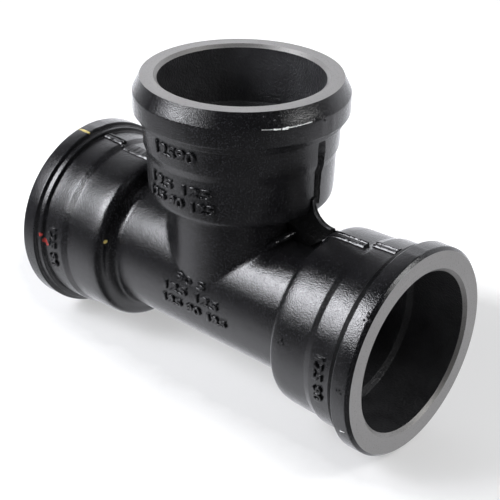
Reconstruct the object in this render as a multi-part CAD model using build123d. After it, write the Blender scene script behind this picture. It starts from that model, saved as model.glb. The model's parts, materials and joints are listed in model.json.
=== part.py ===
"""Equal socket tee in cast iron, poured in one piece.

The run lies along X and the branch stands up along Z. Each of the three mouths
is a stepped socket: a collar with a machined face, two bands that get narrower
towards the middle, and a shoulder down to the pipe wall. All sizes are in
millimetres. The tee is modelled about the crossing of its axes and is lifted at
the end, so that the ground flats under the two run collars stand on z = 0.
"""

import math
import os

from build123d import *

# Distance from the crossing of the axes to each machined face
RUN_REACH = 173.5
BRANCH_REACH = 171.0

# Pipe between the sockets, with the neck just narrower than the run, and how far
# each pipe stays plain beyond the wall of the other one
RUN_PIPE_RADIUS = 56.7
NECK_INSET = 1.2
PIPE_WALL = 8.5
RUN_PLAIN_LENGTH = 34.5
BRANCH_PLAIN_LENGTH = 18.5
JUNCTION_FILLET = 6.0

# Inside of a socket: lead-in chamfer, bore, the ledge down to a narrower seat, and
# the taper from there to the waterway
MOUTH_BORE_RADIUS = 63.5
MOUTH_BORE_LENGTH = 45.0
LEAD_IN_WIDTH = 2.6
LEAD_IN_DEPTH = 2.6
LEDGE_WIDTH = 5.0
LEDGE_LENGTH = 3.0
TAPER_LENGTH = 13.0

# Collar at a mouth, with what the facing cut has left of its length. The branch has a
# long chamfer, the run just a short, steep one
COLLAR_WALL = 18.8
RUN_COLLAR_LENGTH = 15.5
BRANCH_COLLAR_LENGTH = 26.5
RUN_CHAMFER_ANGLE = 49.2
RUN_CHAMFER_LENGTH = 2.2
BRANCH_CHAMFER_ANGLE = 27.0
BRANCH_CHAMFER_LENGTH = 11.4
COLLAR_ROUNDING = 2.4

# Two steep steps behind the collar with a narrow ring between them, which stands at a
# share of their whole drop and rises a little towards the collar
COLLAR_UNDERCUT = 6.0
UNDERCUT_STEP_LENGTH = 0.8
RING_SHARE = 0.48
RING_RISE = 0.6
RING_ROUNDING = 1.2
COLLAR_BACK_ROUNDING = 1.6
UNDERCUT_ROUNDING = 1.3
UNDERCUT_ROUNDING_SHARE = 0.24

# First band, step and shoulder, from the collar inwards. The second band fills
# what they leave of the reach, and a share of it falls away towards the shoulder, by
# an angle, with a rounding that is a multiple of that share. The shoulder is nearly
# square to the axis, with wide roundings, each a share of its wall at most, and the
# outer one a share of the second band too
FIRST_BAND_WALL = 12.1
FIRST_BAND_LENGTH = 19.4
STEP_HEIGHT = 2.1
STEP_LENGTH = 6.0
BAND_DRAFT = 0.6
STEP_ROUNDING = 4.0
FALL_SHARE = 0.28
FALL_ANGLE = 7.4
FALL_ROUNDING_SHARE = 4.0
SHOULDER_LENGTH = 1.0
SHOULDER_ROUNDING = 7.4
SHOULDER_SHARE = 0.5
SHOULDER_BAND_SHARE = 0.21
FOOT_ROUNDING = 8.0
FOOT_SHARE = 0.55

# Seam where the two halves of the mould met, and the web that it fills
SEAM_WIDTH = 7.0
SEAM_HEIGHT = 1.0
WEB_RADIUS = 18.0

# Width of the flats where the seam was ground off the collars
GROUND_FLAT_WIDTH = 14.0

NECK_RADIUS = RUN_PIPE_RADIUS - NECK_INSET
COLLAR_RADIUS = MOUTH_BORE_RADIUS + COLLAR_WALL
FIRST_BAND_RADIUS = MOUTH_BORE_RADIUS + FIRST_BAND_WALL
SEAT_RADIUS = MOUTH_BORE_RADIUS - LEDGE_WIDTH
FLAT_DISTANCE = math.sqrt(COLLAR_RADIUS**2 - (GROUND_FLAT_WIDTH / 2) ** 2)


class Socket:
    """One mouth, as distances out along its axis from the crossing, and radii."""

    def __init__(self, reach, collar_length, chamfer_length, chamfer_angle, pipe_radius, pipe):
        self.reach = reach
        self.pipe_radius = pipe_radius
        self.pipe = pipe
        self.shoulder = pipe + SHOULDER_LENGTH
        self.collar = reach - collar_length
        self.chamfer = reach - chamfer_length
        chamfer_width = chamfer_length * math.tan(math.radians(chamfer_angle))
        self.face_radius = COLLAR_RADIUS - chamfer_width
        self.band = self.collar - COLLAR_UNDERCUT
        self.ring = self.band + UNDERCUT_STEP_LENGTH
        self.step = self.band - FIRST_BAND_LENGTH
        self.second_band = self.step - STEP_LENGTH
        self.second_length = self.second_band - self.shoulder
        self.fall_length = self.second_length * FALL_SHARE

    def bands(self):
        """Corners of the two bands, from the shoulder out to the collar."""
        step_radius = FIRST_BAND_RADIUS - BAND_DRAFT
        second_radius = step_radius - STEP_HEIGHT
        fall_radius = second_radius - BAND_DRAFT
        fall_depth = self.fall_length * math.tan(math.radians(FALL_ANGLE))
        return [
            (self.shoulder, fall_radius - fall_depth),
            (self.shoulder + self.fall_length, fall_radius),
            (self.second_band, second_radius),
            (self.step, step_radius),
            (self.band, FIRST_BAND_RADIUS),
        ]

    def outside(self):
        """Corners of the outside and the rounding of each, out to the face."""
        shoulder, fall, second_band, step, band = self.bands()
        wall = shoulder[1] - self.pipe_radius
        shoulder_room = min(wall * SHOULDER_SHARE, self.second_length * SHOULDER_BAND_SHARE)
        drop = COLLAR_RADIUS - FIRST_BAND_RADIUS
        ring_radius = FIRST_BAND_RADIUS + drop * RING_SHARE
        ring_end = self.collar - UNDERCUT_STEP_LENGTH
        widest = drop * UNDERCUT_ROUNDING_SHARE
        return [
            ((self.pipe, self.pipe_radius), min(FOOT_ROUNDING, wall * FOOT_SHARE)),
            (shoulder, min(SHOULDER_ROUNDING, shoulder_room)),
            (fall, self.fall_length * FALL_ROUNDING_SHARE),
            (second_band, STEP_ROUNDING),
            (step, STEP_ROUNDING),
            (band, min(UNDERCUT_ROUNDING, widest)),
            ((self.ring, ring_radius), min(RING_ROUNDING, widest)),
            ((ring_end, ring_radius + RING_RISE), min(RING_ROUNDING, widest)),
            ((self.collar, COLLAR_RADIUS), min(COLLAR_BACK_ROUNDING, widest)),
            ((self.chamfer, COLLAR_RADIUS), COLLAR_ROUNDING),
        ]

    def inside(self):
        """Corners of the hollow, from the waterway out to the mouth."""
        bore = self.reach - LEAD_IN_DEPTH
        ledge = bore - MOUTH_BORE_LENGTH
        return [
            (self.pipe, self.pipe_radius - PIPE_WALL),
            (self.pipe + TAPER_LENGTH, SEAT_RADIUS),
            (ledge - LEDGE_LENGTH, SEAT_RADIUS),
            (ledge, MOUTH_BORE_RADIUS),
            (bore, MOUTH_BORE_RADIUS),
            (self.reach, MOUTH_BORE_RADIUS + LEAD_IN_WIDTH),
        ]


RUN = Socket(
    RUN_REACH,
    RUN_COLLAR_LENGTH,
    RUN_CHAMFER_LENGTH,
    RUN_CHAMFER_ANGLE,
    RUN_PIPE_RADIUS,
    NECK_RADIUS + RUN_PLAIN_LENGTH,
)
BRANCH = Socket(
    BRANCH_REACH,
    BRANCH_COLLAR_LENGTH,
    BRANCH_CHAMFER_LENGTH,
    BRANCH_CHAMFER_ANGLE,
    NECK_RADIUS,
    RUN_PIPE_RADIUS + BRANCH_PLAIN_LENGTH,
)


def corner_at(face, point):
    """Vertex of a flat face that lies at a point."""
    return face.vertices().sort_by_distance(Vector(*point))[0]


def turned(outline, roundings=()):
    """Turn corners of (distance, radius) about X, closed at the crossing."""
    start = (0, outline[0][1])
    end = (outline[-1][0], 0)
    face = make_face(Polyline((0, 0), start, *outline, end, close=True))
    for point, rounding in roundings:
        face = fillet(corner_at(face, point), rounding)
    return revolve(face, Axis.X)


def socket_body(socket):
    """Solid of one mouth along +X."""
    rounded = socket.outside()
    corners = [point for point, rounding in rounded]
    return turned(corners + [(socket.reach, socket.face_radius)], rounded)


def socket_hollow(socket):
    """Hollow of one mouth along +X."""
    return turned(socket.inside())


def upright(shape):
    """Stand a shape that lies along +X up along +Z."""
    return Rot(0, -90, 0) * shape


def both_ends(shape):
    """A shape at the +X end of the run, and its mirror image at the other."""
    return shape + mirror(shape, Plane.YZ)


def saddle_edges(body):
    """Edges where the neck runs into the pipe of the run."""
    near = RUN_PIPE_RADIUS + JUNCTION_FILLET
    found = []
    for edge in body.edges():
        box = edge.bounding_box()
        across_neck = box.max.X < near and box.min.X > -near
        if across_neck and box.size.Y > NECK_RADIUS and 0 < box.max.Z < near:
            found.append(edge)
    return found


def casting_outside():
    """Run and branch as one body, with the rounding where they meet."""
    body = both_ends(socket_body(RUN)) + upright(socket_body(BRANCH))
    return fillet(saddle_edges(body), JUNCTION_FILLET)


def seam_plate():
    """Plate in the XZ plane that stands proud as the seam and fills the webs."""
    run = [(x, radius + SEAM_HEIGHT) for x, radius in RUN.bands()]
    run.append((RUN.ring, run[-1][1]))
    branch = [(radius + SEAM_HEIGHT, z) for z, radius in BRANCH.bands()]
    branch.append((branch[-1][0], BRANCH.ring))
    run_end = (RUN.ring, 0)
    branch_end = (0, BRANCH.ring)
    web = (branch[1][0], run[1][1])
    outline = [run_end, *reversed(run[2:]), web, *branch[2:], branch_end]
    above = make_face(Polyline((0, 0), *outline, close=True))
    room = min(run[2][0] - web[0], branch[2][1] - web[1]) - STEP_ROUNDING
    above = fillet(corner_at(above, web), min(WEB_RADIUS, room))
    pipe_radius = RUN_PIPE_RADIUS + SEAM_HEIGHT
    under = [(0, pipe_radius), (RUN.pipe, pipe_radius), *run]
    below = make_face(Polyline((0, 0), *[(x, -z) for x, z in under], run_end, close=True))
    return extrude(Plane.XZ * both_ends(above + below), SEAM_WIDTH / 2, both=True)


def ground_off(socket):
    """Blocks beyond the flats on two sides of a collar along +X."""
    length = socket.reach - socket.band
    middle = socket.band + length / 2
    block = Box(length, 2 * COLLAR_RADIUS, COLLAR_RADIUS)
    offset = FLAT_DISTANCE + COLLAR_RADIUS / 2
    return Pos(middle, 0, offset) * block + Pos(middle, 0, -offset) * block


def socket_tee():
    """The whole casting, standing on the flats under its run collars."""
    body = casting_outside() + seam_plate()
    body -= both_ends(ground_off(RUN)) + upright(ground_off(BRANCH))
    body -= both_ends(socket_hollow(RUN)) + upright(socket_hollow(BRANCH))
    return Pos(0, 0, FLAT_DISTANCE) * body


os.makedirs("parts", exist_ok=True)
export_step(socket_tee(), "parts/socket_tee.step")
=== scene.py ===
import json
import math

import bmesh
import bpy
import numpy as np
from bpy.props import FloatProperty, FloatVectorProperty, IntProperty, PointerProperty
from mathutils import Matrix, Vector


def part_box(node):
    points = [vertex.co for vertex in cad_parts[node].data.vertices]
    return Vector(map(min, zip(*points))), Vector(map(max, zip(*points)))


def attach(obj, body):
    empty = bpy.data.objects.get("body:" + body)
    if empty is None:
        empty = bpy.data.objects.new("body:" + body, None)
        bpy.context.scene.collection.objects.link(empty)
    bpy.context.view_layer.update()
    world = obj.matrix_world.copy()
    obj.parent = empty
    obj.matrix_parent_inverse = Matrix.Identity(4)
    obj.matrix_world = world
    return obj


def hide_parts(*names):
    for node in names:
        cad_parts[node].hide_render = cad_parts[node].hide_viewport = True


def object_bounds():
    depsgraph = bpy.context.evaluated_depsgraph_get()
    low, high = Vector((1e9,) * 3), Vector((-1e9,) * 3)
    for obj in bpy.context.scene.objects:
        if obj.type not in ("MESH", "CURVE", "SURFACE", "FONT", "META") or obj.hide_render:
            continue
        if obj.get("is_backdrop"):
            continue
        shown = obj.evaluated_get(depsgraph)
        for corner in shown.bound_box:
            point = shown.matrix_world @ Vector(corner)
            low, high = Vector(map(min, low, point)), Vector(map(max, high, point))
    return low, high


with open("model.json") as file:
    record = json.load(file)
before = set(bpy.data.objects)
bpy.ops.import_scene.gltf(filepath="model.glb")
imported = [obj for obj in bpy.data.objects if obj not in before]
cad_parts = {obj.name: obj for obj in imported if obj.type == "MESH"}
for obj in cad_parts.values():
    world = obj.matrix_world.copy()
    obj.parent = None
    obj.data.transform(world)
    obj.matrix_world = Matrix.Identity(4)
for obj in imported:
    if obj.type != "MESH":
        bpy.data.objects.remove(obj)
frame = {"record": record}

bl_info = {
    "name": "Socket tee",
    "version": (1, 0, 0),
    "blender": (4, 5, 0),
    "location": "3D View > Sidebar > Tee",
    "description": "Dresses the packed frame of a cast iron socket tee",
    "category": "Object",
}

MM = 0.001
FULL_TURN = 2 * math.pi
NODE = "socket_tee"
BODY = "root"

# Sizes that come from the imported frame
CAD_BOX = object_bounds()
LOW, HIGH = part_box(NODE)
MOUNTS = {mount["name"]: mount for mount in frame["record"]["mounts"]}
BRANCH_MOUNT = MOUNTS["branch_socket"]
RUN_MOUNT = MOUNTS["run_right_socket"]
AXIS_HEIGHT = RUN_MOUNT["pos_m"][2]
CROSSING = Vector((0.0, 0.0, AXIS_HEIGHT))
MOUTH_RADIUS = BRANCH_MOUNT["dims"]["r_mm"] * MM
MOUTH_LENGTH = BRANCH_MOUNT["dims"]["length_mm"] * MM
RUN_REACH = HIGH.x
BRANCH_REACH = HIGH.z - AXIS_HEIGHT
COLLAR_RADIUS = HIGH.y


def length(name, description, default, **more):
    """A size in metres that the panel shows."""
    return FloatProperty(
        name=name, description=description, default=default, unit="LENGTH", precision=4, **more
    )


def angle(name, description, degrees):
    """An angle that the panel shows, from degrees."""
    return FloatProperty(
        name=name, description=description, default=math.radians(degrees), subtype="ANGLE"
    )


def tone(name, description, default):
    """A colour that the panel shows."""
    return FloatVectorProperty(
        name=name, description=description, default=default, subtype="COLOR", size=3,
        min=0.0, max=1.0,
    )


class CastingSizes(bpy.types.PropertyGroup):
    """Form of the casting, the same as in the frame."""

    run_reach: length("Run reach", "Crossing to a run mouth", RUN_REACH)
    branch_reach: length("Branch reach", "Crossing to the branch mouth", BRANCH_REACH)
    run_radius: length("Run pipe radius", "Outside of the plain run pipe", 56.7 * MM)
    neck_radius: length("Neck radius", "Outside of the branch's neck", 55.5 * MM)
    pipe_wall: length("Pipe wall", "Wall of the plain pipes", 8.5 * MM)
    run_plain: length("Run plain length", "Neck wall to the run's shoulder", 34.5 * MM)
    branch_plain: length("Branch plain length", "Pipe wall to the branch's shoulder", 18.5 * MM)
    junction: length("Junction rounding", "Rounding between neck and run", 6.0 * MM)
    water_edge: length("Waterway rounding", "Rounding where the hollows meet", 2.0 * MM)
    collar_radius: length("Collar radius", "Outside of a collar", COLLAR_RADIUS)
    collar_undercut: length("Collar undercut", "Length of the steps behind a collar", 6.0 * MM)
    run_collar: length("Run collar length", "Length of a run collar", 15.5 * MM)
    branch_collar: length("Branch collar length", "Length of the branch collar", 26.5 * MM)
    run_chamfer: length("Run chamfer length", "Chamfer left on a run collar", 2.2 * MM)
    run_chamfer_angle: angle("Run chamfer angle", "Slope of the run's chamfers", 49.2)
    branch_chamfer: length("Branch chamfer length", "Chamfer on the branch collar", 11.4 * MM)
    branch_chamfer_angle: angle("Branch chamfer angle", "Slope of the branch's chamfer", 27.0)
    collar_rounding: length("Collar rounding", "Rounding at a collar's chamfer", 2.4 * MM)
    back_rounding: length("Collar back rounding", "Rounding at a collar's back", 1.6 * MM)
    undercut_rounding: length("Undercut rounding", "Rounding at the first band's end", 1.3 * MM)
    undercut_step: length("Undercut step", "Length of each step behind a collar", 0.8 * MM)
    ring_height: length("Ring height", "Ring behind a collar above the first band", 3.2 * MM)
    ring_rise: length("Ring rise", "Rise of that ring towards the collar", 0.6 * MM)
    ring_rounding: length("Ring rounding", "Rounding of that ring's corners", 1.2 * MM)
    first_band_radius: length("First band radius", "Outside of the wider band", 75.6 * MM)
    first_band_length: length("First band length", "Length of the wider band", 19.4 * MM)
    step_height: length("Step height", "Drop between the bands", 2.1 * MM)
    step_length: length("Step length", "Length of the slope between the bands", 6.0 * MM)
    step_rounding: length("Step rounding", "Rounding of the step's corners", 4.0 * MM)
    band_draft: length("Band draft", "Loss of radius along each band", 0.6 * MM)
    shoulder_length: length("Shoulder length", "Slope from band to pipe", 1.0 * MM)
    fall_length: length("Fall length", "Slope at the narrower band's end", 10.0 * MM)
    fall_depth: length("Fall depth", "Drop over that slope", 1.3 * MM)
    fall_rounding: length("Fall rounding", "Rounding where that slope starts", 40.0 * MM)
    shoulder_rounding: length("Shoulder rounding", "Rounding of the shoulder's edge", 7.1 * MM)
    foot_rounding: length("Foot rounding", "Rounding from shoulder to pipe", 7.8 * MM)
    mouth_radius: length("Mouth radius", "Bore that takes the pipe", MOUTH_RADIUS)
    mouth_length: length("Mouth length", "Length of that bore", MOUTH_LENGTH)
    lead_in: length("Lead-in", "Width and depth of the mouth's chamfer", 2.6 * MM)
    ledge_width: length("Ledge width", "Width of the ledge inside a mouth", 5.0 * MM)
    ledge_length: length("Ledge length", "Length of the slope at the ledge", 3.0 * MM)
    taper: length("Taper length", "Length of the taper down to the waterway", 13.0 * MM)
    inside_rounding: length("Inside rounding", "Rounding of the taper's ends", 6.0 * MM)
    face_edge: length("Face edge", "Rubbed outer edge of a machined face", 0.4 * MM)
    flat_width: length("Ground flat width", "Flat where the seam was ground off", 14.0 * MM)
    around: IntProperty(
        name="Faces around", description="Faces round a socket", default=240, min=32, max=512
    )


class SkinSizes(bpy.types.PropertyGroup):
    """Unevenness of the sand-cast skin."""

    height: length("Skin height", "Depth of the broad unevenness", 0.34 * MM)
    scale: FloatProperty(
        name="Skin scale", description="Waves of unevenness in a metre", default=42.0
    )
    seed: FloatProperty(name="Seed", description="Picks another unevenness", default=3.0)


class SeamSizes(bpy.types.PropertyGroup):
    """Seam of the mould, the webs in the corners and the bead in the crease."""

    width: length("Seam width", "Width of the fettled seam", 6.4 * MM)
    height: length("Seam height", "Height of the seam above the skin", 1.1 * MM)
    unevenness: FloatProperty(
        name="Seam unevenness", description="Share by which the seam's section varies",
        default=0.3, min=0.0, max=1.0, subtype="FACTOR",
    )
    web_width: length("Web width", "Thickness of the corner webs", 7.0 * MM)
    web_radius: length("Web radius", "Hollow edge of a corner web", 18.0 * MM)
    bead_width: length("Bead width", "Width of the bead in the crease", 5.6 * MM)
    seed: FloatProperty(name="Seed", description="Picks other lumps", default=7.0)


class FinishLook(bpy.types.PropertyGroup):
    """Colours of the finishes."""

    coating: tone("Coating", "Black coating of the casting", (0.0062, 0.0062, 0.0068))
    coating_roughness: FloatProperty(
        name="Coating roughness", description="Blur of the coating's shine",
        default=0.14, min=0.0, max=1.0, subtype="FACTOR",
    )
    grain_depth: length("Grain depth", "Height of the sand's grain", 0.19 * MM)
    # Painted light: the mouth coating is lighter than the outer coating, to lift the insides of
    # the hollows.
    mouth: tone("Mouth coating", "Thin coating inside the mouths", (0.03, 0.03, 0.032))
    machined: tone("Machined iron", "Bare faces at the mouths", (0.29, 0.283, 0.275))
    yellow: tone("Yellow paint", "Dash and dot on the left socket", (0.62, 0.50, 0.16))
    red: tone("Red paint", "Specks on the left socket", (0.30, 0.03, 0.025))


class StageLook(bpy.types.PropertyGroup):
    """Camera, floor and studio light."""

    lens: FloatProperty(name="Lens", description="Focal length in millimetres", default=89.94)
    distance: length("Camera distance", "Camera to the point it looks at", 991.0 * MM)
    azimuth: angle("Azimuth", "Camera's turn from the front", 41.236)
    elevation: angle("Elevation", "Camera's height angle", 28.65)
    roll: angle("Roll", "Camera's tilt about its line of sight", 0.9454)
    floor: tone("Floor", "Pale floor", (0.5, 0.5, 0.5))
    glow: FloatProperty(name="Glow", description="Light of the floor itself", default=0.4)
    low_box: FloatProperty(name="Low box", description="Power of the low strip", default=2.2)
    side_box: FloatProperty(name="Side box", description="Power from the right", default=5.0)
    soft_box: FloatProperty(name="Soft box", description="Light of its cloth", default=21.0)
    room: FloatProperty(name="Room", description="Brightness of the room", default=16.0)


def sizes():
    """The casting's sizes."""
    return bpy.context.scene.tee_casting


def linked(name, data):
    """An object at the origin, in the scene."""
    piece = bpy.data.objects.new(name, data)
    bpy.context.scene.collection.objects.link(piece)
    return piece


def mesh_piece(name, vertices, faces, *materials):
    """A mesh object at the origin, in the scene."""
    mesh = bpy.data.meshes.new(name)
    mesh.from_pydata([tuple(v) for v in vertices], [], [tuple(f) for f in faces])
    for material in materials:
        mesh.materials.append(material)
    mesh.validate()
    return linked(name, mesh)


def evaluated(piece):
    """The mesh that a curve or a piece's modifier gives."""
    bpy.context.view_layer.update()
    graph = bpy.context.evaluated_depsgraph_get()
    return bpy.data.meshes.new_from_object(piece.evaluated_get(graph))


def turned_outwards(mesh, merge=0.0):
    """Merge points that are no further apart than asked, and face all faces outwards."""
    bm = bmesh.new()
    bm.from_mesh(mesh)
    if merge:
        bmesh.ops.remove_doubles(bm, verts=bm.verts, dist=merge)
    bmesh.ops.recalc_face_normals(bm, faces=bm.faces)
    bm.to_mesh(mesh)
    bm.free()


def settle(piece):
    """Give a finished piece its body."""
    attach(piece, BODY)


def smooth(piece, angle=180.0):
    """Shade a piece smooth, with edges sharper than the angle left crisp."""
    mesh = piece.data
    mesh.polygons.foreach_set("use_smooth", [True] * len(mesh.polygons))
    if angle < 180.0:
        mesh.set_sharp_from_angle(angle=math.radians(angle))


# Outline of a socket


def rounded_line(corners, longest):
    """Points of a line of (distance, radius, rounding) corners, no longer apart than asked."""
    line = [Vector(corners[0][:2])]
    for before, corner, after in zip(corners, corners[1:], corners[2:]):
        point = Vector(corner[:2])
        back = (Vector(before[:2]) - point).normalized()
        ahead = (Vector(after[:2]) - point).normalized()
        rounding = corner[2]
        if not rounding:
            line.append(point)
            continue
        half = back.angle(ahead) / 2
        centre = point + (back + ahead).normalized() * rounding / math.sin(half)
        start = point + back * rounding / math.tan(half) - centre
        end = point + ahead * rounding / math.tan(half) - centre
        turn = math.pi - 2 * half
        steps = max(2, math.ceil(turn / math.radians(10)))
        for step in range(steps + 1):
            share = step / steps
            mixed = start * math.sin((1 - share) * turn) + end * math.sin(share * turn)
            line.append(centre + mixed / math.sin(turn))
    line.append(Vector(corners[-1][:2]))
    finer = [line[0]]
    for before, after in zip(line, line[1:]):
        pieces = max(1, math.ceil((after - before).length / longest))
        finer += [before.lerp(after, n / pieces) for n in range(1, pieces + 1)]
    return finer


class Socket:
    """Distances and outline of one mouth, out along its axis from the crossing."""

    def __init__(self, on_run):
        s = sizes()
        self.radius, across = s.run_radius, s.neck_radius
        if not on_run:
            self.radius, across = across, self.radius
        arm = "run" if on_run else "branch"
        self.reach, plain, collar, chamfer, slope = (
            getattr(s, f"{arm}_{size}")
            for size in ("reach", "plain", "collar", "chamfer", "chamfer_angle")
        )
        self.pipe = across + plain
        self.shoulder = self.pipe + s.shoulder_length
        self.collar = self.reach - collar
        self.chamfer = self.reach - chamfer
        self.band = self.collar - s.collar_undercut
        self.step = self.band - s.first_band_length
        self.second_band = self.step - s.step_length
        self.face_radius = s.collar_radius - chamfer * math.tan(slope)
        step_radius = s.first_band_radius - s.band_draft
        second_radius = step_radius - s.step_height
        fall_radius = second_radius - s.band_draft
        self.bands = [
            (self.shoulder, fall_radius - s.fall_depth),
            (self.shoulder + s.fall_length, fall_radius),
            (self.second_band, second_radius),
            (self.step, step_radius),
            (self.band, s.first_band_radius),
        ]

    def skin(self):
        """Cast outside, from the plain pipe to the edge of the machined face."""
        s = sizes()
        shoulder, fall, second_band, step, band = self.bands
        ring = s.first_band_radius + s.ring_height
        ring_start = self.band + s.undercut_step
        ring_end = self.collar - s.undercut_step
        corners = [
            (self.pipe - s.foot_rounding, self.radius, 0),
            (self.pipe, self.radius, s.foot_rounding),
            (*shoulder, s.shoulder_rounding),
            (*fall, s.fall_rounding),
            (*second_band, s.step_rounding),
            (*step, s.step_rounding),
            (*band, s.undercut_rounding),
            (ring_start, ring, s.ring_rounding),
            (ring_end, ring + s.ring_rise, s.ring_rounding),
            (self.collar, s.collar_radius, s.back_rounding),
            (self.chamfer, s.collar_radius, s.collar_rounding),
            (self.reach, self.face_radius, 0),
        ]
        return rounded_line(corners, 6.0 * MM)

    def along(self, low, high):
        """Points (distance, radius) of the skin from one distance to another."""
        inside = [(p.x, p.y) for p in self.skin() if low < p.x < high]
        return [(low, self.radius_at(low)), *inside, (high, self.radius_at(high))]

    def radius_at(self, distance):
        """Radius of the skin at a distance."""
        line = sorted((p.x, p.y) for p in self.skin())
        return float(np.interp(distance, *zip(*line)))

    def face(self):
        """Machined ring and the chamfer that leads into the bore."""
        s = sizes()
        inner = s.mouth_radius + s.lead_in
        corners = [
            (self.reach, self.face_radius - s.face_edge, 0),
            (self.reach, inner + s.face_edge, 0),
            (self.reach, inner, 0),
            (self.reach - s.lead_in, s.mouth_radius, 0),
        ]
        return rounded_line(corners, 4.0 * MM)

    def hollow(self):
        """Cast inside, from the bore back to the waterway."""
        s = sizes()
        ledge = self.reach - s.lead_in - s.mouth_length
        seat_radius = s.mouth_radius - s.ledge_width
        corners = [
            (self.reach - s.lead_in, s.mouth_radius, 0),
            (ledge, s.mouth_radius, 0.8 * MM),
            (ledge - s.ledge_length, seat_radius, 0.8 * MM),
            (self.pipe + s.taper, seat_radius, s.inside_rounding),
            (self.pipe, self.radius - s.pipe_wall, s.inside_rounding),
            (self.pipe - s.foot_rounding, self.radius - s.pipe_wall, 0),
        ]
        return rounded_line(corners, 8.0 * MM)[1:]


# Crossing of the pipes


def turns(count):
    """Signed steps round a ring, and their angles."""
    steps = np.arange(count)
    steps = np.where(steps > count // 2, steps - count, steps)
    return steps, 2 * np.pi * steps / count


def onto_crossing(points, run_radius, neck_radius, rounding):
    """Move points onto the rounded union of the run's and the neck's cylinders."""
    points = points.copy()
    for _ in range(8):
        x, y, z = points[..., 0], points[..., 1], points[..., 2]
        from_run = np.hypot(y, z)
        from_neck = np.maximum(np.hypot(x, y), 1e-9)
        run_way = np.stack([0 * x, y / from_run, z / from_run], -1)
        neck_way = np.stack([x / from_neck, y / from_neck, 0 * z], -1)
        alike = (run_way * neck_way).sum(-1)
        local = np.maximum(rounding * (1 - alike), 0.05 * rounding)
        run_gap = from_run - run_radius
        beside = from_neck - neck_radius
        neck_gap = np.where(z < 0, np.hypot(np.maximum(beside, 0), z), beside)
        run_near = np.maximum(local - run_gap, 0)
        neck_near = np.maximum(local - neck_gap, 0)
        near = np.maximum(np.hypot(run_near, neck_near), 1e-9)
        gap = np.maximum(local, np.minimum(run_gap, neck_gap)) - near
        way = (run_near[..., None] * run_way + neck_near[..., None] * neck_way) / near[..., None]
        steepness = np.maximum((way**2).sum(-1), 0.2)
        points -= (gap / steepness)[..., None] * way
    return points


def crossing_rows(run_radius, neck_radius, rounding, run_end, branch_end, rows):
    """Rings from the crossing out to a run socket and to the branch socket."""
    count = sizes().around
    quarter = count // 4
    steps, angles = turns(count)
    out = np.linspace(0, 1, rows) ** 1.5
    widest = math.asin(neck_radius / run_radius)
    on_crease = np.abs(steps) <= quarter
    creased = np.arcsin(np.clip(neck_radius * np.sin(angles) / run_radius, -1, 1))
    share = (np.abs(steps) - quarter) / quarter
    under = np.sign(steps) * (widest + share * (np.pi - widest))
    start_angle = np.where(on_crease, creased, under)
    start_x = np.where(on_crease, neck_radius * np.cos(angles), 0)
    eased = (out * out * (3 - 2 * out))[:, None]
    angle = start_angle + (angles - start_angle) * eased
    x = start_x + (run_end - start_x) * out[:, None]
    run = np.stack([x, run_radius * np.sin(angle), run_radius * np.cos(angle)], -1)
    side = neck_radius * np.sin(angles)
    start_z = np.sqrt(run_radius**2 - side**2)
    z = start_z + (branch_end - start_z) * out[:, None]
    branch = np.stack(
        [np.tile(neck_radius * np.cos(angles), (rows, 1)), np.tile(side, (rows, 1)), z], -1
    )
    return (
        onto_crossing(run, run_radius, neck_radius, rounding),
        onto_crossing(branch, run_radius, neck_radius, rounding),
    )


def turned_rows(line, on_run):
    """Rings of a socket's outline, turned about the run's or the branch's axis."""
    steps, angles = turns(sizes().around)
    distance = np.array([p.x for p in line])[:, None] * np.ones_like(angles)
    radius = np.array([p.y for p in line])[:, None]
    if on_run:
        return np.stack([distance, radius * np.sin(angles), radius * np.cos(angles)], -1)
    return np.stack([radius * np.cos(angles), radius * np.sin(angles), distance], -1)


def casting_rings(on_run):
    """All rings of one arm, from the crossing out over the mouth and back inside.

    With them go the numbers of the first and the last machined ring.
    """
    s = sizes()
    socket = Socket(on_run)
    branch_socket = Socket(False)
    run_socket = Socket(True)
    pick = 0 if on_run else 1
    ends = (run_socket.pipe - s.foot_rounding, branch_socket.pipe - s.foot_rounding)
    outer = crossing_rows(s.run_radius, s.neck_radius, s.junction, *ends, 13)[pick]
    inner = crossing_rows(
        s.run_radius - s.pipe_wall, s.neck_radius - s.pipe_wall, s.water_edge, *ends, 8
    )[pick]
    skin = turned_rows(socket.skin(), on_run)[1:]
    face = turned_rows(socket.face(), on_run)
    hollow = turned_rows(socket.hollow(), on_run)[:-1]
    rings = np.concatenate([outer, skin, face, hollow, inner[::-1]])
    first = len(outer) + len(skin)
    machined = (first, first + len(face) - 1)
    return rings, machined


def tube_faces(first, rings, count, flip):
    """Quads between neighbouring rings of a grid of vertices that starts at first."""
    faces = []
    for ring in range(rings - 1):
        low = first + ring * count
        high = low + count
        for step in range(count):
            after = (step + 1) % count
            quad = (low + step, low + after, high + after, high + step)
            faces.append(quad[::-1] if flip else quad)
    return faces


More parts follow.
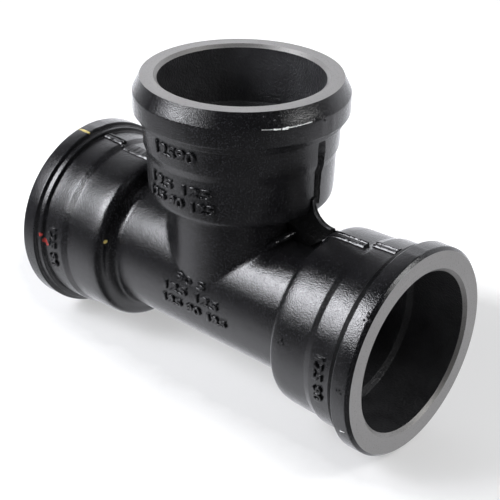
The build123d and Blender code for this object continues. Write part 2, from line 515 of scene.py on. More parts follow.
def casting_grid():
    """Vertices, faces and each face's finish, unevenness and radius of the whole casting."""
    s = sizes()
    count = s.around
    vertices, faces, finish, uneven, turned = [], [], [], [], []
    start = 0
    flat = math.sqrt(s.collar_radius**2 - (s.flat_width / 2) ** 2)
    for on_run, mirror in ((True, 1), (True, -1), (False, 1)):
        rings, (cut_from, cut_to) = casting_rings(on_run)
        amount = np.ones(rings.shape[:2])
        amount[cut_from - 1:cut_to + 1] = 0
        amount[cut_to + 1:] = 0.6
        across, along = (0, 2) if not on_run else (2, 0)
        ground = np.abs(rings[..., across]) > flat
        amount[ground] = 0
        rings[..., across] = np.clip(rings[..., across], -flat, flat)
        radius = np.sqrt((rings**2).sum(-1) - rings[..., along] ** 2)
        rings = rings * (mirror, 1, 1)
        vertices.append(rings.reshape(-1, 3))
        uneven.append(amount.ravel())
        turned.append(radius.ravel())
        number = rings.shape[0]
        faces += tube_faces(start, number, count, flip=on_run and mirror > 0)
        ring_of_face = np.repeat(np.arange(number - 1), count)
        machined = (ring_of_face >= cut_from - 1) & (ring_of_face < cut_to)
        kind = np.where(ring_of_face >= cut_to, 2, machined.astype(np.int32))
        # Painted shade: the groove behind the right run collar gets the dull sandy coating, which
        # darkens it.
        if on_run and mirror > 0:
            socket = Socket(True)
            place = (rings[:-1, 0, 0] + rings[1:, 0, 0])[ring_of_face] / 2
            painted_shade_groove = (place > socket.band) & (place < socket.collar)
            kind[painted_shade_groove & (ring_of_face < cut_from - 1)] = 3
        finish.append(kind)
        start += number * count
    return (
        np.concatenate(vertices), faces, np.concatenate(finish).astype(np.int32),
        np.concatenate(uneven), np.concatenate(turned),
    )


# Geometry Nodes


class Nodes:
    """A node tree that is built from first node to last."""

    def __init__(self, tree):
        self.nodes, self.links = tree.nodes, tree.links

    def fill(self, socket, value):
        """Join a socket to an output, or set its own value."""
        if isinstance(value, bpy.types.NodeSocket):
            self.links.new(value, socket)
        else:
            socket.default_value = value

    def add(self, kind, settings=None, **sockets):
        """A node, with its settings and what goes into its sockets; returns its outputs."""
        node = self.nodes.new(kind)
        for key, value in (settings or {}).items():
            setattr(node, key, value)
        for key, value in sockets.items():
            index = int(key[1:]) if key[0] == "i" and key[1:].isdigit() else key.replace("_", " ")
            self.fill(node.inputs[index], value)
        return node.outputs

    def math(self, operation, first, second=0.0):
        return self.add("ShaderNodeMath", {"operation": operation}, i0=first, i1=second)[0]


class Tree(Nodes):
    """A geometry tree with named inputs."""

    def __init__(self, name, inputs, maker, painted_where=None):
        self.group = bpy.data.node_groups.new(name, "GeometryNodeTree")
        super().__init__(self.group)
        face = self.group.interface
        face.new_socket("Geometry", in_out="INPUT", socket_type="NodeSocketGeometry")
        self.keys = {}
        for label, kind in inputs.items():
            socket = face.new_socket(label, in_out="INPUT", socket_type=kind)
            self.keys[label] = socket.identifier
        face.new_socket("Geometry", in_out="OUTPUT", socket_type="NodeSocketGeometry")
        self.inputs = self.add("NodeGroupInput")
        realized = self.add("GeometryNodeRealizeInstances", Geometry=maker(self))
        painted = self.add(
            "GeometryNodeSetMaterial", Geometry=realized[0], Material=self.inputs["Material"],
            Selection=self.attribute("BOOLEAN", painted_where) if painted_where else True,
        )
        self.add("NodeGroupOutput", Geometry=painted[0])

    def attribute(self, kind, name):
        """A named attribute of the piece."""
        return self.add("GeometryNodeInputNamedAttribute", {"data_type": kind}, Name=name)[0]

    def pushed(self, geometry, amount):
        """Move geometry along its normals."""
        normal = self.add("GeometryNodeInputNormal")[0]
        offset = self.add(
            "ShaderNodeVectorMath", {"operation": "SCALE"}, Vector=normal, Scale=amount
        )["Vector"]
        return self.add("GeometryNodeSetPosition", Geometry=geometry, Offset=offset)[0]

    def wavering(self, scale, amount):
        """Noise about zero, by scale, times an amount."""
        wave = self.math("SUBTRACT", self.noise(scale, self.inputs["Seed"]), 0.5)
        return self.math("MULTIPLY", wave, amount)

    def noise(self, scale, seed, detail=2.0):
        """Noise from 0 to 1 over the geometry's own position."""
        place = self.add("GeometryNodeInputPosition")[0]
        return self.add(
            "ShaderNodeTexNoise", {"noise_dimensions": "4D"},
            Vector=place, W=seed, Scale=scale, Detail=detail,
        )["Fac"]

    def run(self, piece, **values):
        """Evaluate the tree on a piece and keep the result as a plain mesh."""
        modifier = piece.modifiers.new("Maker", "NODES")
        modifier.node_group = self.group
        for label, value in values.items():
            modifier[self.keys[label.replace("_", " ")]] = value
        mesh = evaluated(piece)
        name = piece.name
        piece.modifiers.remove(modifier)
        if piece.type == "MESH":
            old, piece.data = piece.data, mesh
            bpy.data.meshes.remove(old)
        else:
            bpy.data.objects.remove(piece)
            piece = linked(name, mesh)
        mesh.name = name
        return piece


def casting_skin(tree):
    """Sink the cast skin along its normals by broad and fine unevenness."""
    broad = tree.noise(tree.inputs["Scale"], tree.inputs["Seed"])
    finer = tree.noise(tree.math("MULTIPLY", tree.inputs["Scale"], 4.0), tree.inputs["Seed"])
    mixed = tree.math("ADD", broad, tree.math("MULTIPLY", finer, 0.25))
    depth = tree.math("MULTIPLY", mixed, tree.math("MULTIPLY", tree.inputs["Height"], -1.0))
    depth = tree.math("MULTIPLY", depth, tree.attribute("FLOAT", "uneven"))
    return tree.pushed(tree.inputs["Geometry"], depth)


def swept_ridge(tree):
    """Sweep a rounded ridge along a path, thicker and thinner at random."""
    path = tree.add(
        "GeometryNodeResampleCurve", {"mode": "LENGTH"},
        Curve=tree.inputs["Geometry"], Length=tree.inputs["Spacing"],
    )[0]
    path = tree.add(
        "GeometryNodeSetCurveNormal", {"mode": "FREE"}, Curve=path, Normal=tree.inputs["Across"]
    )[0]
    section = tree.add(
        "GeometryNodeCurvePrimitiveQuadrilateral",
        Width=tree.inputs["Width"], Height=tree.inputs["Height"],
    )[0]
    section = tree.add(
        "GeometryNodeFilletCurve", {"mode": "POLY"},
        Curve=section, Radius=tree.inputs["Rounding"], Count=4,
    )[0]
    wave = tree.wavering(130.0, tree.math("MULTIPLY", tree.inputs["Unevenness"], 2.0))
    ridge = tree.add(
        "GeometryNodeCurveToMesh", Curve=path, Profile_Curve=section,
        Scale=tree.math("ADD", wave, 1.0), Fill_Caps=True,
    )[0]
    return tree.pushed(ridge, tree.wavering(420.0, tree.inputs["Lumps"]))


def strewn_lumps(tree):
    """Dented lumps on points, each as large as its point says."""
    lump = tree.add("GeometryNodeMeshIcoSphere", Radius=1.0, Subdivisions=3)["Mesh"]
    points = tree.add(
        "GeometryNodeMeshToPoints", {"mode": "VERTICES"}, Mesh=tree.inputs["Geometry"]
    )[0]
    strewn = tree.add(
        "GeometryNodeInstanceOnPoints", Points=points, Instance=lump,
        Scale=tree.attribute("FLOAT", "size"),
    )[0]
    whole = tree.add("GeometryNodeRealizeInstances", Geometry=strewn)[0]
    return tree.pushed(whole, tree.wavering(700.0, tree.inputs["Dents"]))


FLOAT, VECTOR = "NodeSocketFloat", "NodeSocketVector"
MATERIAL = "NodeSocketMaterial"


# Finishes


class Finish(Nodes):
    """A material on the object's own coordinates."""

    def __init__(self, name):
        self.material = bpy.data.materials.new(name)
        self.material.use_nodes = True
        super().__init__(self.material.node_tree)
        self.shader = self.nodes["Principled BSDF"]
        self.place = self.add("ShaderNodeTexCoord")["Object"]

    def noise(self, scale, detail=2.0, roughness=0.5, place=None):
        return self.add(
            "ShaderNodeTexNoise", Vector=place or self.place,
            Scale=scale, Detail=detail, Roughness=roughness,
        )["Fac"]

    def between(self, value, low, high, bottom=0.0, top=1.0):
        """Map a value from low..high onto bottom..top."""
        return self.add(
            "ShaderNodeMapRange", Value=value, From_Min=low, From_Max=high,
            To_Min=bottom, To_Max=top,
        )["Result"]

    def bump(self, height, distance, below=None):
        """Raise the surface by a height map, on top of another bump."""
        under = {} if below is None else {"Normal": below}
        return self.add(
            "ShaderNodeBump", Strength=1.0, Distance=distance, Height=height, **under
        )["Normal"]

    def blend(self, share, first, second):
        """A colour between two."""
        return self.add("ShaderNodeMix", {"data_type": "RGBA"}, i0=share, i6=first, i7=second)[2]

    def dab(self, centre, half_sizes):
        """Share of paint at a dab round a point about the crossing, sizes in mm."""
        centre = Vector(centre) * MM + CROSSING
        scale = tuple(1.0 / (size * MM) for size in half_sizes)
        off = self.add(
            "ShaderNodeVectorMath", {"operation": "SUBTRACT"}, i0=self.place, i1=tuple(centre)
        )[0]
        off = self.add("ShaderNodeVectorMath", {"operation": "MULTIPLY"}, i0=off, i1=scale)[0]
        away = self.add("ShaderNodeVectorMath", {"operation": "LENGTH"}, i0=off)["Value"]
        ragged = self.math("MULTIPLY", self.noise(700.0, 3.0), 0.7)
        return self.between(self.math("ADD", away, ragged), 1.15, 1.45, 1.0, 0.0)

    def set(self, **sockets):
        for key, value in sockets.items():
            self.fill(self.shader.inputs[key.replace("_", " ")], value)
        return self.material


def rgba(colour, share=1.0):
    """A colour, brightened or darkened, with an opaque alpha."""
    return (*[part * share for part in colour], 1.0)


def kept(name, make):
    """A material by name, made the first time that it is asked for."""
    return bpy.data.materials.get(name) or make(name)


# Dabs of old paint: colour, centre about the crossing, half sizes, in mm
DABS = (
    ("yellow", (-163.2, -15.4, 80.8), (7.8, 1.5, 2.0)),
    ("yellow", (-90.2, -62.0, 19.4), (2.2, 2.0, 1.6)),
    ("red", (-154.0, -77.2, 9.5), (1.6, 3.0, 1.7)),
    ("red", (-149.0, -75.6, 1.2), (1.4, 2.0, 1.8)),
    ("red", (-151.0, -76.0, 4.0), (2.0, 3.0, 2.2)),
)


def sand_cast_coating(name, grain=1.0):
    """Black coating over sand-cast iron: grain, orange peel, uneven shine."""
    look = bpy.context.scene.tee_finish
    finish = Finish(name)
    sand = finish.noise(1000.0, 1.0)
    peel = finish.noise(240.0, 2.0)
    waves = finish.noise(70.0, 2.0)
    normal = finish.bump(waves, 0.16 * MM)
    normal = finish.bump(peel, 0.05 * MM * grain, normal)
    normal = finish.bump(sand, look.grain_depth * grain, normal)
    base = look.coating_roughness
    shine = finish.between(finish.noise(160.0, 3.0), 0.3, 0.7, base - 0.04, base + 0.06)
    tint = finish.between(finish.noise(900.0, 2.0), 0.45, 0.7)
    colour = finish.blend(tint, rgba(look.coating, 0.8), rgba(look.coating, 3.0))
    for tones, centre, half_sizes in DABS:
        colour = finish.blend(
            finish.dab(centre, half_sizes), colour, rgba(getattr(look, tones))
        )
    return finish.set(Base_Color=colour, Roughness=shine, Normal=normal, IOR=1.5)


def thin_mouth_coating(name):
    """The coating inside the mouths, thinner and duller over rougher sand, and lighter than
    outside as painted light in the hollows.
    """
    look = bpy.context.scene.tee_finish
    finish = Finish(name)
    sand = finish.noise(520.0, 1.5, 0.6)
    pits = finish.noise(190.0, 2.0)
    normal = finish.bump(pits, 0.25 * MM)
    normal = finish.bump(sand, 4.6 * look.grain_depth, normal)
    patches = finish.between(finish.noise(60.0, 3.0), 0.3, 0.7)
    colour = finish.blend(patches, rgba(look.mouth, 0.75), rgba(look.mouth, 1.25))
    return finish.set(Base_Color=colour, Roughness=0.4, Normal=normal, Specular_IOR_Level=0.35)


def sandy_coating(name):
    """Dull, mottled coating on the webs, where loose sand stuck to the iron; also used as painted
    shade that darkens the groove behind the right run collar.
    """
    look = bpy.context.scene.tee_finish
    finish = Finish(name)
    normal = finish.bump(finish.noise(420.0, 2.0, 0.6), 3.8 * look.grain_depth)
    patches = finish.between(finish.noise(150.0, 3.0), 0.55, 0.75)
    colour = finish.blend(patches, rgba(look.coating, 0.4), rgba(look.mouth, 0.5))
    return finish.set(
        Base_Color=colour, Roughness=0.4, Normal=normal, Specular_IOR_Level=0.1
    )


def web_coating_and_painted_shade():
    return kept("sandy_coating", sandy_coating)


def mouth_coating():
    return kept("thin_mouth_coating", thin_mouth_coating)


def coating():
    return kept("sand_cast_coating", sand_cast_coating)


def fettled_coating():
    """The same coating where the seam was dressed: less grain, so more shine."""
    return kept("fettled_coating", lambda name: sand_cast_coating(name, 0.45))


def machined_iron(name):
    """Bare turned iron: rings from the tool, dull specks of graphite."""
    look = bpy.context.scene.tee_finish
    finish = Finish(name)
    radius = finish.add("ShaderNodeAttribute", {"attribute_name": "turned_radius"})["Fac"]
    along = finish.add("ShaderNodeCombineXYZ", X=radius)[0]
    marks = finish.noise(2600.0, 2.0, 0.6, along)
    bands = finish.noise(420.0, 2.0, 0.5, along)
    specks = finish.between(finish.noise(900.0, 3.0), 0.58, 0.72)
    stains = finish.between(finish.noise(38.0, 3.0), 0.35, 0.75)
    colour = finish.blend(
        finish.between(bands, 0.3, 0.7), rgba(look.machined, 0.9), rgba(look.machined, 1.08)
    )
    colour = finish.blend(stains, colour, rgba(look.machined, 0.92))
    colour = finish.blend(specks, colour, rgba(look.machined, 0.6))
    normal = finish.bump(marks, 0.012 * MM)
    return finish.set(
        Base_Color=colour, Metallic=0.75, Normal=normal,
        Roughness=finish.between(bands, 0.3, 0.7, 0.4, 0.5),
    )


def machined():
    return kept("machined_iron", machined_iron)


# Pieces


def path_piece(name, points):
    """A curve object through points about the crossing, for a tree to sweep along."""
    curve = bpy.data.curves.new(name, "CURVE")
    curve.dimensions = "3D"
    spline = curve.splines.new("POLY")
    spline.points.add(len(points) - 1)
    for place, point in zip(spline.points, points):
        place.co = (*(Vector(point) + CROSSING), 1.0)
    return linked(name, curve)


def joined(name, parts):
    """Several plain meshes as one piece."""
    bm = bmesh.new()
    for part in parts:
        bm.from_mesh(part.data)
    mesh = bpy.data.meshes.new(name)
    for material in parts[0].data.materials:
        mesh.materials.append(material)
    bm.to_mesh(mesh)
    bm.free()
    for part in parts:
        old = part.data
        bpy.data.objects.remove(part)
        bpy.data.meshes.remove(old)
    piece = bpy.data.objects.new(name, mesh)
    bpy.context.scene.collection.objects.link(piece)
    return piece


class TEE_OT_casting(bpy.types.Operator):
    """Make the casting with its machined mouths"""

    bl_idname = "tee.casting"
    bl_label = "Casting"

    def execute(self, context):
        skin = context.scene.tee_skin
        vertices, faces, finish, uneven, turned = casting_grid()
        # The fourth finish is the webs' sandy coating, also painted shade in the groove behind
        # the right run collar.
        finishes = (coating(), machined(), mouth_coating(), web_coating_and_painted_shade())
        piece = mesh_piece("casting", vertices, faces, *finishes)
        mesh = piece.data
        mesh.polygons.foreach_set("material_index", finish)
        for name, kind, domain, values in (
            ("uneven", "FLOAT", "POINT", uneven),
            ("turned_radius", "FLOAT", "POINT", turned),
            ("coated", "BOOLEAN", "FACE", finish == 0),
        ):
            mesh.attributes.new(name, kind, domain).data.foreach_set("value", values)
        turned_outwards(mesh, 0.002 * MM)
        tree = Tree(
            "Casting skin",
            {"Height": FLOAT, "Scale": FLOAT, "Seed": FLOAT, "Material": MATERIAL},
            casting_skin, painted_where="coated",
        )
        piece = tree.run(
            piece, Height=skin.height, Scale=skin.scale, Seed=skin.seed, Material=coating()
        )
        piece.data.transform(Matrix.Translation(CROSSING))
        piece.data.attributes.remove(piece.data.attributes["uneven"])
        piece.data.attributes.remove(piece.data.attributes["coated"])
        smooth(piece, 35.0)
        settle(piece)
        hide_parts(NODE)
        return {"FINISHED"}


def seam_strips():
    """Stretches of the mould's seam as (name, tilt in degrees, width, points)."""
    s = sizes()
    run, branch = Socket(True), Socket(False)
    seam = bpy.context.scene.tee_seam
    wide = seam.width
    tangent = branch.bands[1][1] + seam.height + seam.web_radius
    edge = 1.5 * MM
    upright = branch.along(tangent - 3 * edge, branch.band - edge)
    upright.append((branch.band + edge, upright[-1][1]))
    second = run.along(tangent - edge, run.second_band - edge)
    first = run.along(run.step - edge, run.band - edge)
    below = run.along(run.shoulder + 2 * edge, run.band - edge)
    low, high = second[0][0], first[-1][0]
    plain = run.pipe - s.foot_rounding
    corner = branch.bands[1][1] + seam.height
    rim = []
    for n in range(25):
        turn = math.radians(180 + 90 * n / 24)
        centre, reach = corner + seam.web_radius, seam.web_radius + 0.3 * MM
        rim.append((
            centre + reach * math.cos(turn), -0.28 * seam.web_width,
            centre + reach * math.sin(turn),
        ))
    return (
        ("branch", 22.0, 0.98 * wide, [(r, 2.7 * MM, z) for z, r in upright]),
        ("branch_left", -22.0, 0.98 * wide, [(-r, 2.7 * MM, z) for z, r in upright]),
        ("second", 4.0, wide, [(x, -3.4 * MM, r) for x, r in second]),
        ("second_lip", 46.0, 0.42 * wide, [(x, -6.2 * MM, r) for x, r in second]),
        ("second_crest", 46.0, 0.32 * wide, [(x, -1.8 * MM, r + 1.2 * MM) for x, r in second]),
        ("first", 4.0, 0.8 * wide, [(x, -0.8 * MM, r) for x, r in first]),
        ("first_lip", 46.0, 0.4 * wide, [(x, -3.0 * MM, r + 0.3 * MM) for x, r in first]),
        ("first_crest", 46.0, 0.3 * wide, [(x, 0.6 * MM, r + 1.1 * MM) for x, r in first]),
        ("second_left", 8.0, 1.5 * wide, [(-x, -1.0 * MM, r) for x, r in second]),
        ("lip_left", 46.0, 0.4 * wide, [
            (-x, (-4.8 - 1.5 * math.sin(4 * (x - low) / (high - low))) * MM, r - 0.2 * MM)
            for x, r in second
        ]),
        ("first_left", 4.0, wide, [(-x, -0.5 * MM, r) for x, r in first]),
        ("front_lip_left", 46.0, 0.4 * wide, [(-x, -3.4 * MM, r + 0.3 * MM) for x, r in first]),
        ("back_lip_left", 30.0, 0.3 * wide, [(-x, 0.2 * MM, r + 1.0 * MM) for x, r in first]),
        ("web_right", 0.0, 0.22 * wide, rim),
        ("web_left", 0.0, 0.22 * wide, mirrored(rim, -1)),
        ("under_pipe", 0.0, wide, [(x, 0.0, -s.run_radius) for x in (-plain, plain)]),
        ("under_right", 0.0, wide, [(x, 0.0, -r) for x, r in below]),
        ("under_left", 0.0, wide, [(-x, 0.0, -r) for x, r in below]),
    )


def mirrored(points, side):
    """Points on the right half of the tee, or their mirror images on the left."""
    return [(x * side, y, z) for x, y, z in points]


class TEE_OT_seam(bpy.types.Operator):
    """Make the seam that the mould left along the sockets"""

    bl_idname = "tee.seam"
    bl_label = "Seam"

    def execute(self, context):
        seam = context.scene.tee_seam
        tree = ridge_tree()
        strips = []
        for number, (name, tilt, width, points) in enumerate(seam_strips()):
            slant = math.radians(tilt)
            way = (math.sin(slant), math.cos(slant))
            height = min(2 * seam.height, 0.8 * width)
            strips.append(tree.run(
                path_piece(f"seam_{name}", points), Width=width, Height=height,
                Rounding=0.25 * height, Spacing=1.2 * MM,
                Across=(*way, 0.0) if name.startswith("branch") else (0.0, way[1], way[0]),
                Unevenness=seam.unevenness, Lumps=0.9 * MM, Seed=seam.seed + number,
                Material=fettled_coating(),
            ))
        piece = joined("seam", strips)
        smooth(piece)
        settle(piece)
        return {"FINISHED"}


def ridge_tree():
    """The tree that sweeps seams and beads."""
    return Tree(
        "Swept ridge",
        {
            "Width": FLOAT, "Height": FLOAT, "Rounding": FLOAT, "Spacing": FLOAT,
            "Across": VECTOR, "Unevenness": FLOAT, "Lumps": FLOAT, "Seed": FLOAT,
            "Material": MATERIAL,
        },
        swept_ridge,
    )


class TEE_OT_webs(bpy.types.Operator):
    """Make the thin webs that fill the corners between branch and run"""

    bl_idname = "tee.webs"
    bl_label = "Corner webs"

    def execute(self, context):
        seam = context.scene.tee_seam
        corner = Socket(False).bands[1][1] + seam.height
        centre = corner + seam.web_radius
        thin, root, edge = 0.28 * seam.web_width, 0.95 * seam.web_width, 0.7 * MM
        shallow, deeper, flare = 6.0 * MM, 26.0 * MM, 16.0 * MM
        sections, count = 28, 16
        vertices = []
        for n in range(sections + 1):
            turn = math.radians(177 + 96 * n / sections)
            depth = shallow + deeper * math.sin(2 * (turn - math.pi)) ** 2
            ring = []
            for step in range(count + 1):
                across = thin - 2 * thin * step / count
                inward = edge * max(0.0, (abs(across) - (thin - edge)) / edge) ** 2
                ring.append((seam.web_radius + inward, across))
            sides = []
            for n_side in range(1, 9):
                behind = depth * n_side / 8
                half = thin + (root - thin) * min(1.0, behind / flare) ** 1.5
                sides.append((seam.web_radius + edge + behind, half))
            ring += [(reach, -half) for reach, half in sides]
            ring += reversed(sides)
            for reach, across in ring:
                vertices.append((
                    centre + reach * math.cos(turn), across, centre + reach * math.sin(turn)
                ))
        around = len(ring)
        faces = tube_faces(0, sections + 1, around, False)
        faces.append(tuple(range(around)))
        faces.append(tuple(range(sections * around, (sections + 1) * around))[::-1])
        webs = []
        for side in (1, -1):
            places = [Vector(p) + CROSSING for p in mirrored(vertices, side)]
            web = mesh_piece("web", places, faces, web_coating_and_painted_shade())
            turned_outwards(web.data)
            webs.append(web)
        piece = joined("corner_webs", webs)
        smooth(piece, 50.0)
        settle(piece)
        return {"FINISHED"}


class TEE_OT_bead(bpy.types.Operator):
    """Make the bead of iron that ran into the crease in front of the right web"""

    bl_idname = "tee.bead"
    bl_label = "Crease bead"

    def execute(self, context):
        s, seam = sizes(), context.scene.tee_seam
        angles = np.radians(np.linspace(-27.5, -3.5, 24))
        side = s.neck_radius * np.sin(angles)
        crease = np.stack([
            s.neck_radius * np.cos(angles), side, np.sqrt(s.run_radius**2 - side**2)
        ], -1)
        path = onto_crossing(crease, s.run_radius, s.neck_radius, s.junction)
        proud = np.stack([np.cos(angles), np.sin(angles), np.ones_like(angles)], -1)
        path = path + 0.46 * seam.bead_width * proud
        bead = ridge_tree().run(
            path_piece("crease_bead", path), Width=seam.bead_width, Height=seam.bead_width,
            Rounding=seam.bead_width * 0.49, Spacing=0.8 * MM, Across=(0.0, 0.3, 1.0),
            Unevenness=0.9, Lumps=1.5 * MM, Seed=seam.seed, Material=coating(),
        )
        smooth(bead)
        settle(bead)
        return {"FINISHED"}


def on_skin(on_run, distance, angle, lift=0.0):
    """Point about the crossing on the skin of a socket, by distance in mm and angle.

    The angle is from the top towards the front on the run, and from +X round +Z on
    the branch. A negative distance is on the left half of the run.
    """
    radius = Socket(on_run).radius_at(abs(distance) * MM) + lift
    turn = math.radians(angle)
    if on_run:
        return distance * MM, -radius * math.sin(turn), radius * math.cos(turn)
    return radius * math.cos(turn), radius * math.sin(turn), distance * MM


# Lumps of iron on the skin: on the run or not, distance, angle, radius in mm
LUMPS = (
    (False, 170.2, -54.6, 0.8), (False, 167.8, -36.6, 0.9), (False, 169.9, -33.1, 0.7),
    (False, 164.9, -31.4, 1.0), (False, 162.7, -27.2, 0.9), (False, 157.2, -26.0, 0.8),
    (False, 167.5, -28.6, 0.8), (False, 164.1, -34.5, 0.8), (False, 166.8, -25.1, 0.8),
    (False, 161.6, -29.4, 0.8), (False, 157.9, -2.2, 0.8),
    (True, 103.9, 78.2, 1.3), (True, 105.4, 80.1, 0.9), (True, 101.2, 80.8, 0.7),
    (True, 169.9, 46.3, 1.2), (True, 171.4, 47.8, 1.3), (True, 169.0, 44.6, 0.9),
    (True, 168.2, 48.4, 0.8), (True, -150.4, 1.2, 1.8), (True, -128.8, 3.3, 1.7),
    (True, -90.5, 50.5, 1.1), (True, 150.0, -2.8, 1.5), (True, 163.2, 86.5, 0.7),
    (True, 165.6, 85.8, 0.8), (True, 167.0, 87.4, 0.6),
)
# Fins of iron on the skin: on the run or not, ends as (distance, angle), width in mm
FINS = (
    (False, (159.9, -38.5), (159.6, -33.0), 0.3),
    (False, (159.5, -32.6), (159.2, -28.9), 1.3),
    (False, (159.2, -28.0), (159.4, -25.0), 1.9),
    (False, (159.5, -25.4), (160.0, -11.0), 0.6),
    (True, (164.0, 113.4), (168.0, 112.6), 0.6),
)


class TEE_OT_lumps(bpy.types.Operator):
    """Strew the small lumps and fins that the mould left on the skin"""

    bl_idname = "tee.lumps"
    bl_label = "Lumps and fins"

    def execute(self, context):
        seam = context.scene.tee_seam
        places = [Vector(on_skin(*lump[:3])) + CROSSING for lump in LUMPS]
        seeds = mesh_piece("lumps", places, [])
        size = seeds.data.attributes.new("size", "FLOAT", "POINT")
        size.data.foreach_set("value", [lump[3] * MM for lump in LUMPS])
        tree = Tree(
            "Strewn lumps", {"Dents": FLOAT, "Seed": FLOAT, "Material": MATERIAL}, strewn_lumps
        )
        parts = [tree.run(
            seeds, Dents=1.1 * MM, Seed=seam.seed, Material=fettled_coating()
        )]
        ridges = ridge_tree()
        for on_run, start, end, width in FINS:
            stations = [
                (start[0] + (end[0] - start[0]) * n / 12, start[1] + (end[1] - start[1]) * n / 12)
                for n in range(13)
            ]
            path = [on_skin(on_run, distance, angle) for distance, angle in stations]
            across = (1.0, 0.0, 0.0) if on_run and abs(end[1] - start[1]) < 2 else (0.3, 0.3, 1.0)
            parts.append(ridges.run(
                path_piece("fin", path), Width=width * MM, Height=width * MM,
                Rounding=0.45 * width * MM, Spacing=0.7 * MM, Across=across,
                Unevenness=0.9, Lumps=1.8 * width * MM, Seed=seam.seed + start[1],
                Material=coating(),
            ))
        piece = joined("lumps", parts)
        smooth(piece)
        settle(piece)
        return {"FINISHED"}


# Height of the figures, and how much of it lies below the skin
FIGURE_DEPTH, FIGURE_SUNK = 2.6 * MM, 1.0 * MM
# Where each plain number is cast: text, seat, on the run or not, centre along the axis,
# angle about the axis in degrees, length, height, and reading way
NUMBERS = (
    ("12590", "first", False, 131.0, -88.5, 40.0, 10.2, "around"),
    ("125 125", "second", False, 103.2, -88.0, 60.0, 8.8, "around"),
    ("125 90 125", "second", False, 91.0, -88.0, 64.0, 8.8, "around"),
    ("90 5", "pipe", True, -2.0, 75.0, 31.0, 8.0, "along"),
    ("125 125", "pipe", True, 0.0, 86.0, 58.0, 8.2, "along"),
    ("125 90 125", "pipe", True, 3.5, 98.5, 68.0, 8.2, "along"),
    ("125 90", "first", True, 141.5, 90.0, 38.0, 8.6, "down"),
    ("125 90", "first", True, -142.3, 90.0, 38.0, 8.6, "down"),
)


def number_mesh(text, long, tall, depth):
    """Flat raised figures of a given length and height, centred, standing on z = 0."""
    curve = bpy.data.curves.new("figures", "FONT")
    curve.body = text
    curve.align_x = "CENTER"
    curve.align_y = "CENTER"
    curve.offset = -0.014
    curve.extrude = 0.02
    curve.bevel_depth = 0.062
    curve.bevel_resolution = 2
    curve.resolution_u = 3
    holder = linked("figures", curve)
    mesh = evaluated(holder)
    bpy.data.objects.remove(holder)
    places = np.array([v.co for v in mesh.vertices])
    low, high = places.min(0), places.max(0)
    span = (high - low)[:2]
    places[:, :2] = (places[:, :2] - (low + high)[:2] / 2) / span * (long, tall)
    places[:, 2] = (places[:, 2] - low[2]) / (high - low)[2] * depth
    mesh.vertices.foreach_set("co", places.ravel())
    return mesh


class TEE_OT_numbers(bpy.types.Operator):
    """Cast plain numbers on the bands and on the run pipe"""

    bl_idname = "tee.numbers"
    bl_label = "Cast numbers"

    def execute(self, context):
        s = sizes()
        radii = {
            "first": s.first_band_radius - s.band_draft / 2,
            "second": Socket(False).bands[2][1] - s.band_draft / 2,
            "pipe": s.run_radius,
        }
        figures = []
        for text, seat, on_run, centre, angle, long, tall, way in NUMBERS:
            mesh = number_mesh(text, long * MM, tall * MM, FIGURE_DEPTH)
            radius = radii[seat]
            for vertex in mesh.vertices:
                u, v, w = vertex.co
                height = radius + w - FIGURE_SUNK
                turned, distance = (-v, u) if way == "along" else (u, v)
                turn = math.radians(angle) + turned / radius
                distance += centre * MM
                if on_run:
                    place = (distance, -height * math.sin(turn), height * math.cos(turn))
                else:
                    place = (height * math.cos(turn), height * math.sin(turn), distance)
                vertex.co = Vector(place) + CROSSING
            mesh.materials.clear()
            mesh.materials.append(fettled_coating())
            figures.append(linked("figure", mesh))
        piece = joined("cast_numbers", figures)
        turned_outwards(piece.data, 0.01 * MM)
        smooth(piece, 40.0)
        settle(piece)
        return {"FINISHED"}


def floor_finish(name):
    """Pale floor with a glow that grows away from the casting."""
    look = bpy.context.scene.tee_stage
    finish = Finish(name)
    x, y, _ = finish.add("ShaderNodeSeparateXYZ", Vector=finish.place)
    beyond = finish.math("MAXIMUM", finish.math("SUBTRACT", finish.math("ABSOLUTE", x), 0.16))
    behind = finish.math("SUBTRACT", y, 0.08)
    flat = finish.add("ShaderNodeCombineXYZ", X=beyond, Y=behind)[0]
    away = finish.add("ShaderNodeVectorMath", {"operation": "LENGTH"}, i0=flat)["Value"]
    away = finish.math("ADD", away, finish.math("MULTIPLY", finish.noise(30.0, 4.0), 0.03))
    finish.set(Base_Color=rgba(look.floor), Roughness=0.9, Specular_IOR_Level=0.1)
    finish.set(Emission_Color=(1.0, 1.0, 1.0, 1.0))
    finish.set(Emission_Strength=finish.between(away, 0.15, 0.2, look.glow, look.glow + 0.35))
    return finish.material


def studio_world():
    """Dark room with a bright wall and table behind, as the casting mirrors them."""
    world = bpy.data.worlds.new("studio")
    world.use_nodes = True
    room = Nodes(world.node_tree)

    def ramp(value, stops):
        node = room.nodes.new("ShaderNodeValToRGB")
        elements = node.color_ramp.elements
        for number, (position, shade) in enumerate(stops):
            element = elements[number] if number < 2 else elements.new(position)
            element.position = position
            element.color = (shade, shade, shade, 1.0)
        node.color_ramp.interpolation = "EASE"
        room.fill(node.inputs["Fac"], value)
        return node.outputs["Color"]

    way = room.add("ShaderNodeSeparateXYZ", i0=room.add("ShaderNodeTexCoord")["Generated"])
    turn = room.math("ARCTAN2", way["X"], room.math("MULTIPLY", way["Y"], -1.0))
    turn = room.math("ADD", room.math("DIVIDE", turn, FULL_TURN), 0.5)
    height = room.math("ADD", room.math("MULTIPLY", way["Z"], 0.5), 0.5)
    light = 0.0
    for around, upward in ROOM:
        by_turn = ramp(turn, [(degrees / 360 + 0.5, shade) for degrees, shade in around])
        by_height = ramp(height, [(z * 0.5 + 0.5, shade) for z, shade in upward])
        light = room.math("ADD", room.math("MULTIPLY", by_turn, by_height), light)
    shares = [room.math("MULTIPLY", light, share) for share in DAYLIGHT]
    tinted = room.add("ShaderNodeCombineXYZ", **dict(zip("XYZ", shares)))[0]
    background = room.nodes["Background"].inputs
    room.fill(background["Color"], tinted)
    room.fill(background["Strength"], bpy.context.scene.tee_stage.room)
    bpy.context.scene.world = world


